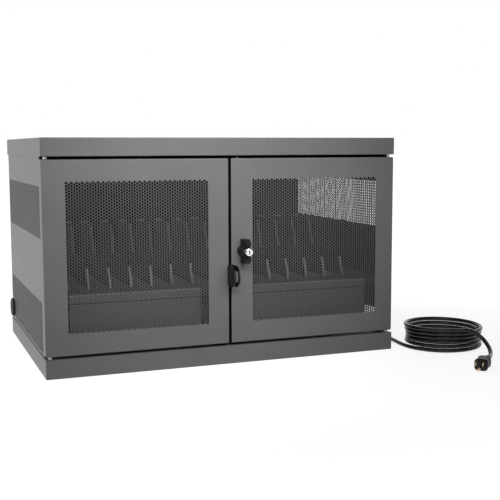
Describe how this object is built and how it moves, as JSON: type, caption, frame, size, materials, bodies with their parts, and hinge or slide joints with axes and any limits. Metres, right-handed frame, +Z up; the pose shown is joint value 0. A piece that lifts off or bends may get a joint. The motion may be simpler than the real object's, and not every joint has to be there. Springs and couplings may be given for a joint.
{
  "type": "laptop charging cabinet",
  "caption": "Low sheet-steel laptop charging cabinet with two perforated doors, a keyed wing knob, padlock tabs, upright slots over an adapter bay, and a coiled supply cord with plug.",
  "frame": {"origin": "centre of the plinth's underside, on the surface the cabinet stands on", "axes": "+X to the right seen from the front, +Y to the back, +Z up"},
  "size_m": [0.9014, 0.7233, 0.43],
  "materials": {
    "graphite_powder_coat": "satin graphite powder coat with a fine texture",
    "inner_powder_coat": "satin graphite powder coat",
    "black_plastic": "moulded black plastic",
    "black_steel": "satin black paint",
    "chrome": "polished chrome",
    "zinc_steel": "bright zinc plate",
    "brass": "plain brass",
    "cord_jacket": "smooth black jacket with a soft gloss"
  },
  "bodies": {
    "cabinet": {"plinth_tray": "graphite_powder_coat", "floor_panel": "graphite_powder_coat", "top_cap": "graphite_powder_coat", "left_side_panel": "graphite_powder_coat", "right_side_panel": "graphite_powder_coat", "left_front_post": "graphite_powder_coat", "right_front_post": "graphite_powder_coat", "back_panel": "graphite_powder_coat", "device_shelf": "inner_powder_coat", "left_shelf_hanger": "inner_powder_coat", "right_shelf_hanger": "inner_powder_coat", "left_adapter_cover": "inner_powder_coat", "right_adapter_cover": "inner_powder_coat", "divider_01": "inner_powder_coat", "divider_02": "inner_powder_coat", "divider_03": "inner_powder_coat", "divider_04": "inner_powder_coat", "divider_05": "inner_powder_coat", "divider_06": "inner_powder_coat", "divider_07": "inner_powder_coat", "divider_08": "inner_powder_coat", "divider_09": "inner_powder_coat", "divider_10": "inner_powder_coat", "divider_11": "inner_powder_coat", "divider_12": "inner_powder_coat", "divider_13": "inner_powder_coat", "divider_14": "inner_powder_coat", "divider_15": "inner_powder_coat", "left_outlet_strip": "black_plastic", "right_outlet_strip": "black_plastic", "left_port_cap": "black_plastic", "cord_gland": "black_plastic", "plug_body": "black_plastic", "left_upper_hinge_pin": "zinc_steel", "left_lower_hinge_pin": "zinc_steel", "right_upper_hinge_pin": "zinc_steel", "right_lower_hinge_pin": "zinc_steel", "plug_live_blade": "brass", "plug_neutral_blade": "brass", "plug_ground_pin": "brass", "cord_lead": "cord_jacket", "cord_coil": "cord_jacket", "cord_tail": "cord_jacket", "strip_link_lead": "cord_jacket", "supply_link_lead": "cord_jacket"},
    "left_door": {"left_door": "graphite_powder_coat", "left_hasp_tab": "black_steel"},
    "right_door": {"right_door": "graphite_powder_coat", "right_hasp_tab": "black_steel", "lock_escutcheon": "black_plastic", "upper_rod_guide": "zinc_steel", "lower_rod_guide": "zinc_steel"},
    "wing_knob": {"wing_knob": "black_plastic", "lock_cam": "zinc_steel"},
    "lock_plug": {"lock_plug": "chrome"},
    "upper_lock_rod": {"upper_lock_rod": "zinc_steel"},
    "lower_lock_rod": {"lower_lock_rod": "zinc_steel"},
    "left_rocker": {"left_rocker_switch": "black_plastic"},
    "right_rocker": {"right_rocker_switch": "black_plastic"}
  },
  "joints": [
    {"name": "left_door_hinge", "type": "hinge", "parent": "cabinet", "child": "left_door", "pos_m": [-0.3405, -0.2285, 0.2155], "axis": [0, 0, -1], "range_deg": [0, 115]},
    {"name": "right_door_hinge", "type": "hinge", "parent": "cabinet", "child": "right_door", "pos_m": [0.3405, -0.2285, 0.2155], "axis": [0, 0, 1], "range_deg": [0, 115]},
    {"name": "knob_turn", "type": "hinge", "parent": "right_door", "child": "wing_knob", "pos_m": [0.025, -0.2365, 0.217], "axis": [0, 1, 0], "range_deg": [0, 90]},
    {"name": "key_turn", "type": "hinge", "parent": "wing_knob", "child": "lock_plug", "pos_m": [0.025, -0.2365, 0.217], "axis": [0, 1, 0], "range_deg": [0, 90]},
    {"name": "upper_rod_slide", "type": "slide", "parent": "right_door", "child": "upper_lock_rod", "axis": [0, 0, 1], "range_m": [0, 0.012]},
    {"name": "lower_rod_slide", "type": "slide", "parent": "right_door", "child": "lower_lock_rod", "axis": [0, 0, -1], "range_m": [0, 0.012]},
    {"name": "left_rocker_tilt", "type": "hinge", "parent": "cabinet", "child": "left_rocker", "pos_m": [-0.0555, 0.1937, 0.061], "axis": [1, 0, 0], "range_deg": [-7, 7]},
    {"name": "right_rocker_tilt", "type": "hinge", "parent": "cabinet", "child": "right_rocker", "pos_m": [0.0555, 0.1937, 0.061], "axis": [1, 0, 0], "range_deg": [-7, 7]}
  ],
  "couplings": [
    {"joint": "upper_rod_slide", "follows": "knob_turn", "m_per_rad": 0.00763},
    {"joint": "lower_rod_slide", "follows": "knob_turn", "m_per_rad": 0.00763}
  ]
}
